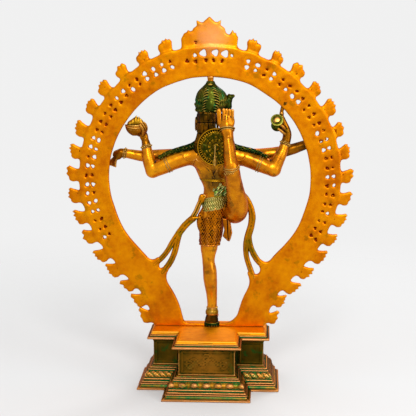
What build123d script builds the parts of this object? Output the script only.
"""Cast brass dancing figure inside a ring of flames, on a stepped T-plan plinth.

Millimetres. +Z is up, +Y is the side that the figure faces, and the plinth's deep
centre bay points to -Y. The origin is on the ground, at the middle of the plinth's
overall width and depth. The figure's own points are measured from the arch's plane.
"""
from build123d import *
from math import atan2, degrees, radians
import os

os.makedirs("parts", exist_ok=True)

# ---------------------------------------------------------------- driving dimensions
# Plinth: a T in plan. Every course is the top slab's outline moved out or in.
SLAB_HALF_WIDTH = 111.0
SLAB_FRONT = 76.5
SLAB_BACK = -7.5
BAY_HALF_WIDTH = 56.0
BAY_BACK = -76.5
PLINTH_WALL = 8.0
FOOT_TOP = 12.5
LOTUS_TOP = 44.0
NECK_TOP = 98.0
CORNICE_TOP = 107.0
SLAB_TOP = 114.0

# Flame arch
ARCH_Y = 37.5
ARCH_THICKNESS = 11.0
RING_CENTRE_Z = 416.5
RING_OUTER_R = 260.5
RING_INNER_R = 200.5
OUTER_FOOT_X = 110.0
INNER_FOOT_X = 51.0
BASE_BAR_HEIGHT = 6.0
FLAMES_PER_SIDE = 16
FIRST_FLAME_DEGREES = 18.6      # from the crown; the flames crowd together towards the feet
LAST_FLAME_CLEAR = 19.0
FLAME_CROWDING = 0.1
FLAME_LENGTH = 31.0
FLAME_WIDTH = 26.0
FLAME_STEM_WIDTH = 19.0
FLAME_THICKNESS = 8.0
PIERCING_PITCH = 20.0
PIERCING_ROWS = (15.5, 27.5)
PIERCING_HALF_AXES = (3.3, 4.5)
PIERCING_START = 84.0
# Crest holes: distance along the edge from the crown, inset, radius.
CREST_HOLES = ((-30, 16, 2.9), (-14, 13, 6.0), (12, 12.5, 6.0), (31, 12.5, 6.0), (47, 13.5, 2.6))
CREST_HEIGHT = 57.0
TENON_X = 80.0
TENON_LENGTH = 30.0
TENON_THICKNESS = 8.0

# Fasteners under the slab
STUD_R = 4.0
WASHER_R = 9.0
WASHER_THICKNESS = 2.0
NUT_ACROSS_FLATS = 13.0
NUT_HEIGHT = 6.5
STUD_END_Z = 95.0

# Figure
PAD_TOP = 121.5
PAD_X = 5.0
PAD_HALF_LENGTH = 16.0
PAD_HALF_DEPTH = 15.0
DISC_CENTRE = (14.0, -25.0, 481.0)
DISC_R = 37.5
DISC_THICKNESS = 5.0
SCARF_WIDTH = 14.0
BRANCH_WIDTH = 10.5
SCARF_THICKNESS = 7.0


# The arch stands in this upright plane, whose normal points to -Y.
ARCH_PLANE = Plane.XZ.offset(-ARCH_Y)


# ---------------------------------------------------------------- shared operations
def tee_outline(z, outset):
    """The plinth's T-shaped outline at a height, moved out by outset."""
    side, front, back = SLAB_HALF_WIDTH + outset, SLAB_FRONT + outset, SLAB_BACK - outset
    bay, bay_back = BAY_HALF_WIDTH + outset, BAY_BACK - outset
    with BuildSketch(Plane.XY.offset(z)) as outline:
        with BuildLine():
            Polyline(
                (-side, back), (-bay, back), (-bay, bay_back), (bay, bay_back),
                (bay, back), (side, back), (side, front), (-side, front), close=True,
            )
        make_face()
    return outline.sketch


def moulding(levels, mode=Mode.ADD):
    """One stack of straight mouldings through (height, outset) levels."""
    loft(sections=[tee_outline(z, outset) for z, outset in levels], ruled=True, mode=mode)


def course(levels, wall=PLINTH_WALL):
    """A hollow plinth course, with one plain slope inside."""
    moulding(levels)
    inside = [(z, outset - wall) for z, outset in (levels[0], levels[-1])]
    moulding(inside, mode=Mode.SUBTRACT)


def placed(point):
    """A point of the figure, measured from the arch's plane, in the part's frame."""
    return Vector(point) + Vector(0, ARCH_Y, 0)


def section(centre, direction, half_width, half_depth):
    """An elliptical section square to a limb; its width runs as near to X as it can."""
    z_dir = Vector(direction).normalized()
    x_dir = Vector(1, 0, 0) - z_dir * z_dir.X
    if x_dir.length < 0.5:
        x_dir = Vector(0, 0, 1) - z_dir * z_dir.Z
    with BuildSketch(Plane(origin=placed(centre), x_dir=x_dir, z_dir=z_dir)) as outline:
        Ellipse(half_width, half_depth)
    return outline.sketch


def limb(stations):
    """Loft through (centre, half width, half depth) stations along a limb."""
    centres = [Vector(centre) for centre, _, _ in stations]
    sections = []
    for index, (centre, half_width, half_depth) in enumerate(stations):
        before = centres[max(index - 1, 0)]
        after = centres[min(index + 1, len(centres) - 1)]
        sections.append(section(centre, after - before, half_width, half_depth))
    loft(sections=sections)


def stack(stations):
    """Loft through level ellipses given as (z, x, y, half width, half depth)."""
    loft(sections=[section((x, y, z), (0, 0, 1), a, b) for z, x, y, a, b in stations])


def ball(centre, radius):
    with Locations(placed(centre)):
        Sphere(radius)


def band(centre, axis, radius, width):
    """A short round sleeve across a limb, before the limb is cut from it."""
    with BuildSketch(Plane(origin=placed(centre), z_dir=Vector(axis).normalized())) as ring:
        Circle(radius)
    extrude(ring.sketch, amount=width / 2, both=True)


def ribbon(points, width, y, thickness):
    """A flat cloth ribbon in an upright plane, along a smooth path of (x, z) points."""
    with BuildSketch(ARCH_PLANE.offset(-y)) as strip:
        with BuildLine() as path:
            Spline(*points)
        trace(path.line, line_width=width)
    extrude(strip.sketch, amount=thickness / 2, both=True)


def cut_away(*neighbours):
    """Seat the piece being made against pieces that are already made."""
    for neighbour in neighbours:
        add(neighbour.part, mode=Mode.SUBTRACT)


def save(builder, label):
    builder.part.label = label
    export_step(builder.part, f"parts/{label}.step")


# ---------------------------------------------------------------- plinth courses
with BuildPart() as plinth_foot_course:
    course([(0, 30), (3.5, 30), (4.5, 27), (10.5, 22.5), (FOOT_TOP, 22.5)])
save(plinth_foot_course, "plinth_foot_course")

with BuildPart() as plinth_lotus_course:
    course([
        (FOOT_TOP, 21), (16, 20), (17.5, 18), (21, 17), (24, 15.5), (31, 13), (35, 9),
        (37, 8.5), (38.5, 6), (41, 5.5), (42, 3), (LOTUS_TOP, 2.5),
    ])
save(plinth_lotus_course, "plinth_lotus_course")

with BuildPart() as plinth_neck:
    course([(LOTUS_TOP, -1), (NECK_TOP, -1)])
save(plinth_neck, "plinth_neck")

with BuildPart() as plinth_cornice:
    course([(NECK_TOP, 8), (99.5, 11), (103, 10.5), (104.5, 7), (CORNICE_TOP, 6)], wall=16)
save(plinth_cornice, "plinth_cornice")

STUD_PLACES = [(-TENON_X, ARCH_Y), (PAD_X, ARCH_Y), (TENON_X, ARCH_Y)]

with BuildPart() as plinth_top_slab:
    moulding([(CORNICE_TOP, 4), (109, 3.5), (111, 1), (SLAB_TOP, 0)])
    with Locations((-TENON_X, ARCH_Y, SLAB_TOP), (TENON_X, ARCH_Y, SLAB_TOP)):
        Box(TENON_LENGTH, TENON_THICKNESS, 2 * (SLAB_TOP - CORNICE_TOP), mode=Mode.SUBTRACT)
    with Locations((PAD_X, ARCH_Y, SLAB_TOP)):
        Cylinder(STUD_R, 2 * (SLAB_TOP - CORNICE_TOP), mode=Mode.SUBTRACT)
save(plinth_top_slab, "plinth_top_slab")

# ---------------------------------------------------------------- flame arch
# The arch's outlines are drawn for its +X half and mirrored: a round arc from the
# crown down past the ring's widest level, then a smooth run in to the foot.
# They are drawn as (x, z) in a flat sketch, which the arch's own sketch stands upright.
with BuildLine() as outer_side:
    outer_arc = CenterArc((0, RING_CENTRE_Z), RING_OUTER_R, 90, -96)
    Spline(
        outer_arc @ 1, (234, 306), (178, 228), (133, 174), (OUTER_FOOT_X, SLAB_TOP),
        tangents=[outer_arc % 1, (-0.35, -1)],
    )
with BuildLine() as inner_side:
    inner_arc = CenterArc((0, RING_CENTRE_Z), RING_INNER_R, 90, -98)
    Spline(
        inner_arc @ 1, (173, 314), (118, 246), (68, 173),
        (INNER_FOOT_X, SLAB_TOP + BASE_BAR_HEIGHT), tangents=[inner_arc % 1, (-0.2, -1)],
    )
outer_wire = outer_side.wires()[0]
OUTER_LENGTH = outer_wire.length
INNER_AT_FOOT = SLAB_TOP + BASE_BAR_HEIGHT


def edge_place(distance, inset):
    """Point (x, z) on the arch's outer edge, and the turn that points +Y outward there."""
    share = distance / OUTER_LENGTH
    point, tangent = outer_wire.position_at(share), outer_wire.tangent_at(share)
    outward = Vector(-tangent.Y, tangent.X)
    place = point - outward * inset
    return place.X, place.Y, degrees(atan2(outward.Y, outward.X)) - 90


with BuildSketch() as flame_outline:
    with BuildLine():
        half, stem = FLAME_WIDTH / 2, FLAME_STEM_WIDTH / 2
        right = Spline(
            (stem, -2), (stem, 4), (half, 13), (9, 23), (0, FLAME_LENGTH),
            tangents=[(0, 1), (-0.4, 1)],
        )
        Line(right @ 0, (-stem, -2))
        mirror(right, about=Plane.YZ)
    make_face()

with BuildSketch() as piercing_outline:
    Ellipse(*PIERCING_HALF_AXES)

first_flame = RING_OUTER_R * radians(FIRST_FLAME_DEGREES)
flame_span = OUTER_LENGTH - LAST_FLAME_CLEAR - first_flame
flame_places = []
for index in range(FLAMES_PER_SIDE):
    share = index / (FLAMES_PER_SIDE - 1)
    distance = first_flame + flame_span * (share + FLAME_CROWDING * share * (1 - share))
    x, z, turn = edge_place(distance, 1.0)
    flame_places += [Location((x, z, 0), turn), Location((-x, z, 0), -turn)]

piercing_places = []
for index in range(int((OUTER_LENGTH - 60 - PIERCING_START) / PIERCING_PITCH)):
    for inset in PIERCING_ROWS:
        x, z, turn = edge_place(PIERCING_START + index * PIERCING_PITCH, inset)
        piercing_places += [Location((x, z, 0), turn), Location((-x, z, 0), -turn)]
crest_holes = []
for distance, inset, radius in CREST_HOLES:
    x, z, turn = edge_place(abs(distance), inset)
    crest_holes.append(((x if distance > 0 else -x, z), radius))

with BuildPart() as flame_arch:
    with BuildSketch(ARCH_PLANE) as arch_face:
        with BuildLine():
            add(outer_side.line)
            Line((OUTER_FOOT_X, SLAB_TOP), (-OUTER_FOOT_X, SLAB_TOP))
            mirror(outer_side.line, about=Plane.YZ)
        make_face()
        with BuildLine():
            add(inner_side.line)
            Line((INNER_FOOT_X, INNER_AT_FOOT), (-INNER_FOOT_X, INNER_AT_FOOT))
            mirror(inner_side.line, about=Plane.YZ)
        make_face(mode=Mode.SUBTRACT)
        with Locations(*piercing_places):
            add(piercing_outline.sketch, mode=Mode.SUBTRACT)
        for place, radius in crest_holes:
            with Locations(place):
                Circle(radius, mode=Mode.SUBTRACT)
    extrude(amount=ARCH_THICKNESS / 2, both=True)
    with BuildSketch(ARCH_PLANE) as flames:
        with Locations(*flame_places):
            add(flame_outline.sketch)
    extrude(amount=FLAME_THICKNESS / 2, both=True)
    with BuildSketch(ARCH_PLANE) as crest:
        crest_base = RING_CENTRE_Z + RING_OUTER_R - 6
        with BuildLine():
            side = Spline(
                (30, crest_base), (56, crest_base + 17), (33, crest_base + 33),
                (23, crest_base + 54), (13, crest_base + 45), (0, crest_base + 6 + CREST_HEIGHT),
            )
            Line(side @ 0, (-30, crest_base))
            mirror(side, about=Plane.YZ)
        make_face()
    extrude(amount=FLAME_THICKNESS / 2, both=True)
    with Locations((-TENON_X, ARCH_Y, CORNICE_TOP), (TENON_X, ARCH_Y, CORNICE_TOP)):
        Box(TENON_LENGTH, TENON_THICKNESS, SLAB_TOP - CORNICE_TOP,
            align=(Align.CENTER, Align.CENTER, Align.MIN))
    with Locations((-TENON_X, ARCH_Y, STUD_END_Z), (TENON_X, ARCH_Y, STUD_END_Z)):
        Cylinder(STUD_R, CORNICE_TOP - STUD_END_Z, align=(Align.CENTER, Align.CENTER, Align.MIN))
    with Locations((PAD_X, ARCH_Y, SLAB_TOP)):
        Cylinder(STUD_R, 4 * BASE_BAR_HEIGHT, mode=Mode.SUBTRACT)
save(flame_arch, "flame_arch")


# ---------------------------------------------------------------- studs, washers, nuts
def washer_at(places):
    with BuildSketch(Plane.XY.offset(CORNICE_TOP)) as face:
        with Locations(*places):
            Circle(WASHER_R)
            Circle(STUD_R, mode=Mode.SUBTRACT)
    extrude(face.sketch, amount=-WASHER_THICKNESS)


def nut_at(places):
    with BuildSketch(Plane.XY.offset(CORNICE_TOP - WASHER_THICKNESS)) as face:
        with Locations(*places):
            RegularPolygon(NUT_ACROSS_FLATS / 2, 6, major_radius=False)
            Circle(STUD_R, mode=Mode.SUBTRACT)
    extrude(face.sketch, amount=-NUT_HEIGHT)


with BuildPart() as arch_washers:
    washer_at([STUD_PLACES[0], STUD_PLACES[2]])
save(arch_washers, "arch_washers")

with BuildPart() as arch_nuts:
    nut_at([STUD_PLACES[0], STUD_PLACES[2]])
save(arch_nuts, "arch_nuts")

with BuildPart() as figure_washer:
    washer_at([STUD_PLACES[1]])
save(figure_washer, "figure_washer")

with BuildPart() as figure_nut:
    nut_at([STUD_PLACES[1]])
save(figure_nut, "figure_nut")

STUD_TOP = PAD_TOP + 14

with BuildPart() as figure_stud:
    with Locations((PAD_X, ARCH_Y, STUD_END_Z)):
        Cylinder(STUD_R, STUD_TOP - STUD_END_Z, align=(Align.CENTER, Align.CENTER, Align.MIN))
save(figure_stud, "figure_stud")

with BuildPart() as foot_pad:
    stack([
        (SLAB_TOP, PAD_X, 0, PAD_HALF_LENGTH, PAD_HALF_DEPTH),
        (PAD_TOP - 3, PAD_X, 0, PAD_HALF_LENGTH, PAD_HALF_DEPTH),
        (PAD_TOP, PAD_X, 0, PAD_HALF_LENGTH - 2, PAD_HALF_DEPTH - 1),
    ])
    cut_away(figure_stud, flame_arch)
save(foot_pad, "foot_pad")

# ---------------------------------------------------------------- the figure's core
with BuildPart() as torso:
    stack([
        (340, 8, 4, 22, 19), (360, 10, 5, 25, 21), (378, 11, 5, 24.5, 18), (396, 11, 5, 24, 17),
        (420, 9, 5, 32, 20), (445, 11, 6, 44, 22), (464, 13, 6, 44, 20), (478, 6, 7, 24, 15),
        (486, 0, 8, 13, 12),
    ])
save(torso, "torso")

with BuildPart() as head:
    stack([
        (483, 0, 8, 10.5, 10.5), (500, -4, 9, 11, 11.5), (512, -6, 11, 14, 16),
        (526, -6, 13, 20, 22), (540, -6, 12, 21, 24), (556, -4, 10, 17, 19),
    ])
    cut_away(torso)
save(head, "head")

with BuildPart() as hair_crown:
    stack([
        (546, 0, 8, 26, 24), (560, 4, 6, 32, 27), (576, 4, 5, 32, 26), (590, 3, 3, 25, 21),
        (602, 2, 1, 13, 12), (608, 2, 0, 8, 7.5),
    ])
    cut_away(head)
save(hair_crown, "hair_crown")

with BuildPart() as crown_stem:
    with Locations(placed((2, 0, 600))):
        Cylinder(6.5, 20, align=(Align.CENTER, Align.CENTER, Align.MIN))
    cut_away(hair_crown, flame_arch)
save(crown_stem, "crown_stem")

with BuildPart() as crown_side_boss:
    limb([((30, 6, 568), 9, 9), ((42, 6, 577), 7, 7), ((49, 6, 583), 5, 5)])
    cut_away(hair_crown)
save(crown_side_boss, "crown_side_boss")

with BuildPart() as nape_hair:
    stack([
        (548, -6, -2, 18.5, 16), (520, -6, -6, 18.5, 13), (500, -6, -7, 20, 12), (484, -8, -7, 26, 12),
        (468, -6, -12, 24, 9),
    ][::-1])
    cut_away(head, torso, hair_crown)
save(nape_hair, "nape_hair")

with BuildPart() as head_disc:
    with Locations(Plane(origin=placed(DISC_CENTRE), z_dir=(0, -1, 0))):
        Cylinder(DISC_R, DISC_THICKNESS)
        with Locations((0, 0, DISC_THICKNESS / 2)):
            Cylinder(DISC_R - 4.5, 3, mode=Mode.SUBTRACT)
save(head_disc, "head_disc")

with BuildPart() as disc_spigot:
    with Locations(Plane(origin=placed((DISC_CENTRE[0] - 8, -17, DISC_CENTRE[2])), z_dir=(0, 1, 0))):
        Cylinder(6, 11)
    cut_away(torso, nape_hair, head_disc, head)
save(disc_spigot, "disc_spigot")

with BuildPart() as disc_tassel:
    limb([((12, -29, 482), 2.5, 2.2), ((12, -30, 466), 3, 2.5), ((12, -29, 446), 4.5, 3)])
    cut_away(head_disc)
save(disc_tassel, "disc_tassel")

# ---------------------------------------------------------------- legs
with BuildPart() as standing_leg:
    limb([
        ((4, 5, 346), 21, 19), ((0, 5, 310), 18, 18), ((-2, 2, 278), 16, 16),
        ((-3, 0, 252), 13, 14), ((1, -1, 222), 14, 14), ((4.5, 0, 180), 10.5, 10.5),
        ((PAD_X, 0, 150), 9.5, 10),
    ])
    with BuildSketch(Plane.XY.offset(PAD_TOP)) as sole:
        with Locations((PAD_X, ARCH_Y + 12)):
            SlotCenterToCenter(34, 26, rotation=86)
    extrude(amount=9)
    stack([(PAD_TOP, PAD_X, 0, 13.5, 13), (PAD_TOP + 14, PAD_X, 0, 12, 12), (150, PAD_X, 0, 9.5, 10)])
    cut_away(torso, figure_stud)
save(standing_leg, "standing_leg")

with BuildPart() as waist_cloth:
    stack([
        (280, 1, 3, 19.5, 19), (300, 3, 4, 22, 21), (325, 2, 5, 27.5, 23), (345, 8, 5, 26, 23),
        (355, 10, 5, 26, 22.5),
    ])
    cut_away(torso, standing_leg)
save(waist_cloth, "waist_cloth")

with BuildPart() as waist_belt:
    stack([(355, 10, 5, 28, 24), (382, 11, 5, 27, 21)])
    cut_away(torso)
save(waist_belt, "waist_belt")

with BuildPart() as raised_leg:
    limb([
        ((49, 0, 346), 21, 22), ((55, -14, 358), 22.5, 24), ((54, -34, 390), 20.5, 22),
        ((50, -50, 424), 16.5, 18), ((46, -58, 448), 15, 14), ((43, -54, 470), 12, 12.5),
        ((40.5, -48, 494), 10.5, 10.5), ((38.5, -43, 516), 9.5, 9.5),
    ])
    limb([
        ((38, -43, 510), 9, 9), ((36.5, -41, 526), 14, 9), ((34, -39, 542), 16.5, 7),
        ((33.5, -38, 558), 17, 5.5),
    ])
    ball((49, -4, 348), 21)
    cut_away(torso, standing_leg, waist_cloth, waist_belt, head_disc)
save(raised_leg, "raised_leg")

with BuildPart() as cloth_tail:
    with BuildSketch(ARCH_PLANE.offset(8)) as tail_outline:
        with BuildLine():
            Polyline((28, 334), (44, 330), (45, 304), (39, 287), (28, 300), close=True)
        make_face()
    extrude(tail_outline.sketch, amount=6)
    cut_away(waist_cloth, raised_leg, standing_leg)
save(cloth_tail, "cloth_tail")


# ---------------------------------------------------------------- arms
def raised_arm(shoulder, middle, elbow, wrist, palm):
    limb([(shoulder, 18, 18), (middle, 17, 17), (elbow, 13.5, 13.5)])
    ball(elbow, 14.5)
    limb([(elbow, 12.5, 12.5), (wrist, 8, 8)])
    ball(wrist, 9.5)
    limb([(wrist, 8, 8), (palm, 9.5, 6.5)])


LEFT_ELBOW, LEFT_WRIST = (-113, -4, 431), (-127, 2, 486)
RIGHT_ELBOW, RIGHT_WRIST = (128, -4, 435), (152, 2, 492)

with BuildPart() as rear_left_arm:
    raised_arm((-22, 4, 463), (-70, 0, 450), LEFT_ELBOW, LEFT_WRIST, (-136, 7, 508))
    cut_away(torso, nape_hair)
save(rear_left_arm, "rear_left_arm")

with BuildPart() as rear_right_arm:
    raised_arm((52, 4, 463), (90, 0, 450), RIGHT_ELBOW, RIGHT_WRIST, (149, 6, 514))
    cut_away(torso, nape_hair)
save(rear_right_arm, "rear_right_arm")

with BuildPart() as front_left_arm:
    limb([
        ((-18, 14, 458), 15, 15), ((-75, 24, 458), 13, 13), ((-138, 27, 455), 11, 11),
        ((-180, 25, 463), 8.5, 8.5), ((-192, 24, 452), 8, 6), ((-199, 23, 436), 7, 5),
    ])
    cut_away(torso, rear_left_arm, flame_arch)
save(front_left_arm, "front_left_arm")

with BuildPart() as front_right_arm:
    limb([
        ((48, 14, 458), 15, 15), ((105, 24, 460), 13, 13), ((160, 27, 470), 11, 11),
        ((200, 25, 485), 9, 9), ((218, 22, 491), 10, 6),
    ])
    ball((218, 22, 491), 8)
    cut_away(torso, rear_right_arm, flame_arch)
save(front_right_arm, "front_right_arm")

with BuildPart() as flame_bowl:
    stack([
        (502, -150, 6, 9, 8), (512, -150, 6, 17, 14), (526, -150, 6, 17, 13), (538, -149, 6, 8, 7),
        (548, -148, 6, 3, 3),
    ])
    cut_away(rear_left_arm, flame_arch)
save(flame_bowl, "flame_bowl")

with BuildPart() as drum:
    limb([((133, -12, 533), 12, 12), ((133, 0, 527), 7, 7), ((134, 12, 521), 12, 12)])
    cut_away(rear_right_arm)
save(drum, "drum")

with BuildPart() as drum_stem:
    limb([((141, 2, 530), 4, 4), ((146, 1, 548), 3.5, 3.5), ((149, 0, 560), 4.5, 4.5)])
    cut_away(drum, rear_right_arm, flame_arch)
save(drum_stem, "drum_stem")

with BuildPart() as hair_lock_left:
    limb([
        ((-22, -4, 488), 7, 6), ((-55, -5, 480), 6, 6), ((-84, -6, 471), 6, 6), ((-98, -7, 463), 4, 4),
    ])
    cut_away(torso, rear_left_arm, front_left_arm, nape_hair, head)
save(hair_lock_left, "hair_lock_left")

with BuildPart() as hair_lock_right:
    limb([
        ((40, -4, 486), 7, 6), ((72, -5, 479), 6, 6), ((100, -6, 471), 6, 6), ((112, -7, 463), 4, 4),
    ])
    cut_away(torso, rear_right_arm, front_right_arm, raised_leg, nape_hair, head)
save(hair_lock_right, "hair_lock_right")

# ---------------------------------------------------------------- scarves and cloth
with BuildPart() as hip_knot:
    ribbon([(-10, 380), (-19, 366), (-24, 352), (-33, 337)], 9, -4, 8)
    ball((-33, -4, 334), 8)
    cut_away(waist_belt, waist_cloth, torso)
save(hip_knot, "hip_knot")

with BuildPart() as scarf_left:
    ribbon([(-34, 334), (-56, 312), (-70, 292)], SCARF_WIDTH, -2, SCARF_THICKNESS)
    ribbon([(-66, 297), (-80, 272), (-94, 254), (-114, 240)], BRANCH_WIDTH, -2, SCARF_THICKNESS)
    ribbon([(-66, 297), (-68, 272), (-76, 246), (-98, 216)], BRANCH_WIDTH, -2, SCARF_THICKNESS)
    cut_away(hip_knot, waist_cloth, flame_arch)
save(scarf_left, "scarf_left")

with BuildPart() as scarf_right:
    ribbon([(68, 378), (84, 352), (85, 326), (77, 300), (75, 284)], SCARF_WIDTH, -2, SCARF_THICKNESS)
    ribbon([(74, 292), (72, 262), (78, 236), (90, 206)], BRANCH_WIDTH, -2, SCARF_THICKNESS)
    ribbon([(77, 292), (84, 268), (96, 252), (114, 238)], BRANCH_WIDTH, -2, SCARF_THICKNESS)
    cut_away(raised_leg, flame_arch)
save(scarf_right, "scarf_right")

# ---------------------------------------------------------------- ornaments
with BuildPart() as chest_band:
    stack([(409, 9, 5, 31.5, 21.5), (415, 9, 5, 34, 22.5)])
    cut_away(torso, raised_leg)
save(chest_band, "chest_band")

with BuildPart() as collar:
    stack([(478, 4, 8, 25, 18.5), (484, 0, 8, 18, 15)])
    cut_away(torso, head, nape_hair, disc_spigot, hair_lock_left, hair_lock_right)
save(collar, "collar")


def ornament(label, limb_piece, centre, axis, radius, width, *neighbours):
    """A cast band that wraps a limb and touches it all round."""
    with BuildPart() as sleeve:
        band(centre, axis, radius, width)
        cut_away(limb_piece, *neighbours)
    save(sleeve, label)
    return sleeve


left_armlet = ornament("left_armlet", rear_left_arm, (-84, -1, 445), (-43, -4, -20), 19.5, 5,
                       hair_lock_left, front_left_arm)
right_armlet = ornament("right_armlet", rear_right_arm, (100, -1, 446.5), (40, -4, -15), 19.5, 5,
                        hair_lock_right, front_right_arm)
left_bracelet = ornament("left_bracelet", rear_left_arm, (-125, 1, 479), (-14, 6, 55), 11.5, 8,
                         front_left_arm)
right_bracelet = ornament("right_bracelet", rear_right_arm, (149, 1, 485), (24, 6, 57), 11.5, 8,
                          front_right_arm)
front_left_bracelet = ornament("front_left_bracelet", front_left_arm, (-172, 24.8, 460.5),
                               (-44, -3, 7), 12, 8)
front_right_bracelet = ornament("front_right_bracelet", front_right_arm, (193, 25.7, 482.5),
                                (28, -2, 11), 12, 8)
knee_band = ornament("knee_band", raised_leg, (46.5, -57, 445), (-3, -8, 22), 17, 6)
raised_anklet = ornament("raised_anklet", raised_leg, (38.3, -44, 513), (-2, 6, 24), 13, 6, head_disc,
                         disc_spigot)
standing_anklet = ornament("standing_anklet", standing_leg, (PAD_X, 0, 150), (0, 0, 1), 12.5, 11)

with BuildPart() as earrings:
    with Locations(placed((-28, 10, 523)), placed((17, 10, 523))):
        Torus(6, 2.5)
    cut_away(head, nape_hair, hair_crown)
save(earrings, "earrings")
